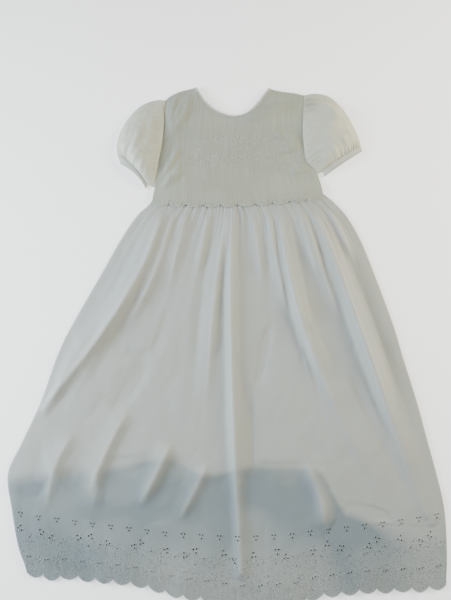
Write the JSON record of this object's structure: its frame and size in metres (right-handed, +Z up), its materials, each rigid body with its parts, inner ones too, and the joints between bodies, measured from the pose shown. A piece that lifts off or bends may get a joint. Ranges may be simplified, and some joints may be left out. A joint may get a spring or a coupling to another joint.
{
  "type": "christening gown",
  "caption": "Baby's long christening gown with short puffed sleeves, a scalloped bodice edge and a gathered skirt with a scalloped eyelet hem, laid flat on its back.",
  "frame": {"origin": "on the surface that the gown lies on, under the centre of its bounding box", "axes": "+Y from the hem towards the neck, +X towards the right of the picture, +Z up out of the surface"},
  "size_m": [0.5988, 0.7498, 0.0203],
  "materials": {
    "white_cotton": "matt woven cotton",
    "white_binding": "matt woven cotton, folded",
    "button_white": "satin"
  },
  "bodies": {
    "root": {"skirt_front": "white_cotton", "skirt_back": "white_cotton", "bodice_front": "white_cotton", "bodice_back_left": "white_cotton", "bodice_back_right": "white_cotton", "sleeve_left": "white_cotton", "sleeve_right": "white_cotton", "cuff_left": "white_binding", "cuff_right": "white_binding", "binding_front": "white_binding", "binding_back_left": "white_binding", "binding_back_right": "white_binding", "button_1": "button_white", "button_2": "button_white", "button_3": "button_white"}
  },
  "joints": []
}
